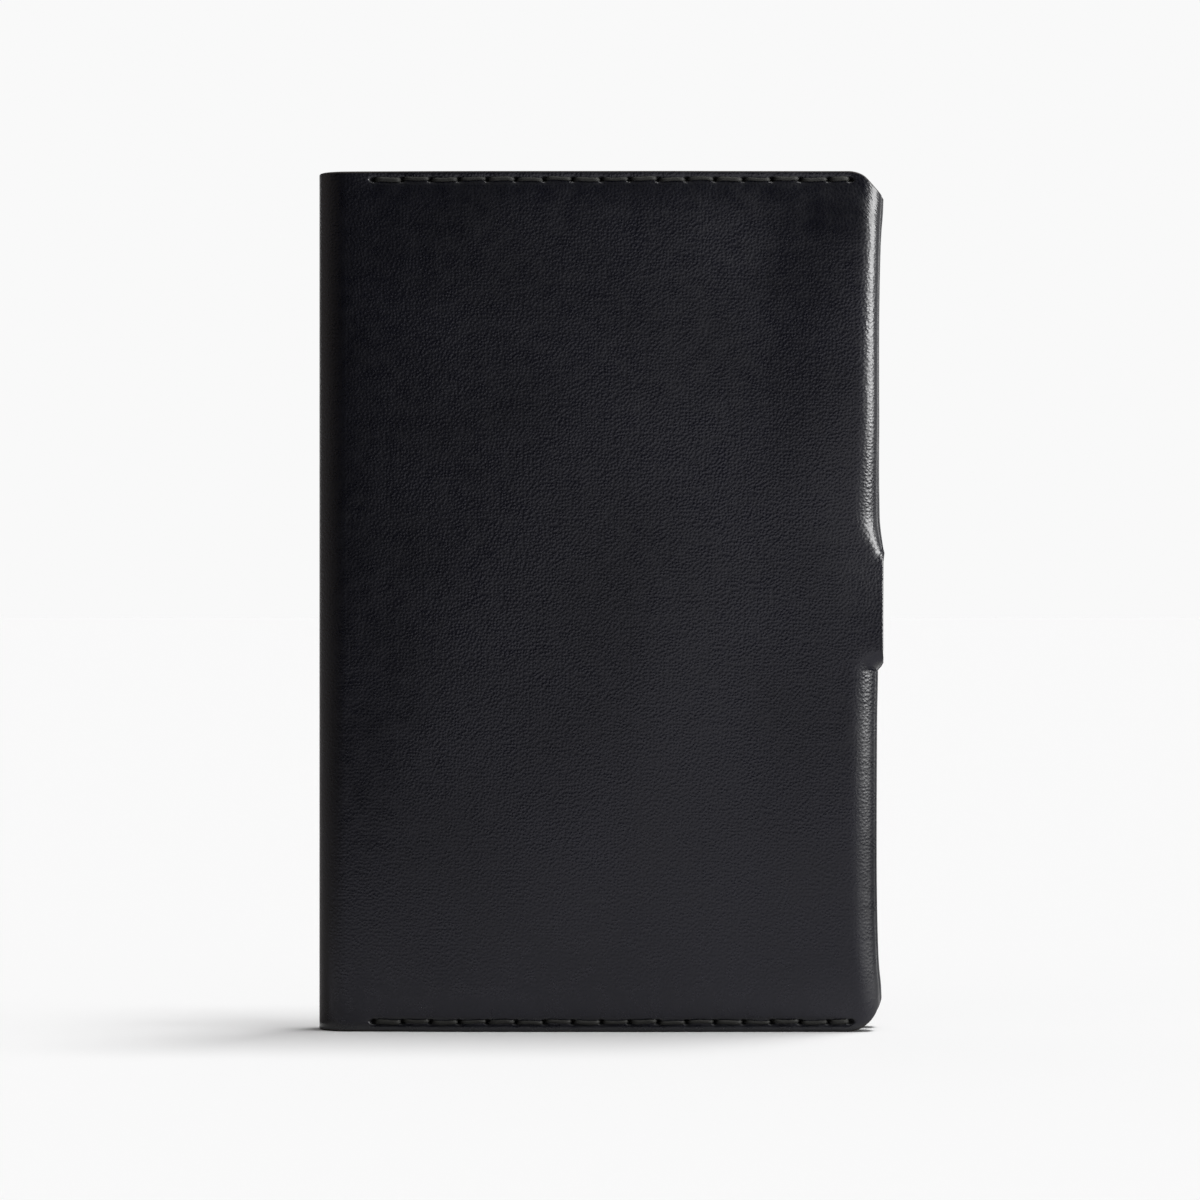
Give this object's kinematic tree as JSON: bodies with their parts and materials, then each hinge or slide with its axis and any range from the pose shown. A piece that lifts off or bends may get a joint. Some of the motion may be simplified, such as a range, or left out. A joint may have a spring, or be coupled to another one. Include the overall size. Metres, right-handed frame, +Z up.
{
  "type": "travel wallet",
  "caption": "Book-style black leather travel wallet that opens flat, with a saddle-stitched pocket flap in each board, thumb tabs on the rolled fore edges and stepped card pockets inside.",
  "frame": {"origin": "middle of the bounding box, on the surface that the wallet stands on", "axes": "+Z up along the spine, +X from the spine to the fore edge, +Y through the closed wallet from the front board to the back board"},
  "size_m": [0.1002, 0.0126, 0.1514],
  "materials": {
    "cover_leather": "smooth full-grain leather, semi-matt black",
    "card_leather": "thin full-grain leather, matt black",
    "thread": "waxed braided thread, black with an olive cast"
  },
  "bodies": {
    "spine": {"spine": "cover_leather"},
    "front": {"front_cover": "cover_leather", "front_top_thread": "thread", "front_bottom_thread": "thread", "card_pocket_back": "card_leather", "card_pocket_middle": "card_leather", "card_pocket_front": "card_leather", "card_left_thread": "thread", "card_right_thread": "thread", "card_foot_thread_back": "thread", "card_foot_thread_middle": "thread", "card_foot_thread_front": "thread"},
    "back": {"back_cover": "cover_leather", "back_top_thread": "thread", "back_bottom_thread": "thread"}
  },
  "joints": [
    {"name": "front_hinge", "type": "hinge", "parent": "spine", "child": "front", "pos_m": [-0.04824, -0.00444, 0.0757], "axis": [0, 0, -1], "range_deg": [0, 90]},
    {"name": "back_hinge", "type": "hinge", "parent": "spine", "child": "back", "pos_m": [-0.04824, 0.00444, 0.0757], "axis": [0, 0, 1], "range_deg": [0, 90]}
  ]
}
